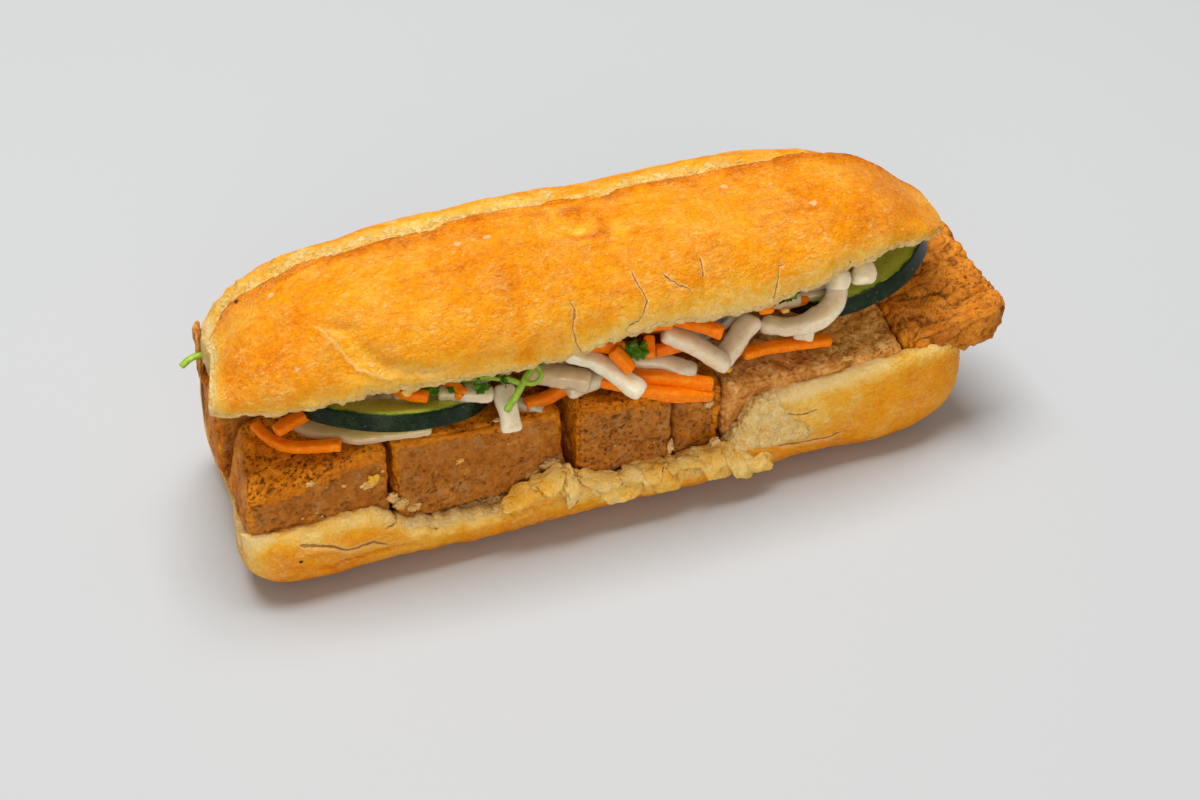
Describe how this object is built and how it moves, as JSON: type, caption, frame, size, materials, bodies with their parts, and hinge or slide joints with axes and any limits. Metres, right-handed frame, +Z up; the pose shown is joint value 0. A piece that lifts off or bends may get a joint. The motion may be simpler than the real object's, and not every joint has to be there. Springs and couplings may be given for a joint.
{
  "type": "banh mi sandwich",
  "caption": "Hinged crusty baguette roll filled with slabs of fried tofu, cucumber slices, strips of pickled carrot and daikon, and coriander.",
  "frame": {"origin": "middle of the bounding box, at the flat underside of the roll", "axes": "+X along the roll, -Y towards its open side, +Z up"},
  "size_m": [0.2056, 0.0674, 0.077],
  "materials": {
    "crust": "dry satin crust, pale matt crumb on torn and cut faces",
    "fried_tofu": "moist matt, porous",
    "cucumber": "wet, dark green skin and pale green flesh",
    "daikon": "wet, slightly see-through",
    "carrot": "wet",
    "coriander": "fresh leaf, satin"
  },
  "bodies": {
    "root": {"bread": "crust", "cucumber_1": "cucumber", "cucumber_2": "cucumber", "cucumber_3": "cucumber", "tofu_1": "fried_tofu", "tofu_2": "fried_tofu", "tofu_3": "fried_tofu", "tofu_4": "fried_tofu", "tofu_5": "fried_tofu", "tofu_6": "fried_tofu", "tofu_7": "fried_tofu", "carrot_01": "carrot", "carrot_02": "carrot", "carrot_03": "carrot", "carrot_04": "carrot", "carrot_05": "carrot", "carrot_06": "carrot", "carrot_07": "carrot", "carrot_08": "carrot", "carrot_09": "carrot", "carrot_10": "carrot", "carrot_11": "carrot", "carrot_12": "carrot", "carrot_13": "carrot", "carrot_14": "carrot", "carrot_15": "carrot", "carrot_16": "carrot", "carrot_17": "carrot", "carrot_18": "carrot", "daikon_01": "daikon", "daikon_02": "daikon", "daikon_03": "daikon", "daikon_04": "daikon", "daikon_05": "daikon", "daikon_06": "daikon", "daikon_07": "daikon", "daikon_08": "daikon", "daikon_09": "daikon", "daikon_10": "daikon", "daikon_11": "daikon", "daikon_12": "daikon", "daikon_13": "daikon", "daikon_14": "daikon", "coriander_1": "coriander", "coriander_2": "coriander", "pickle_bed": "daikon"}
  },
  "joints": []
}
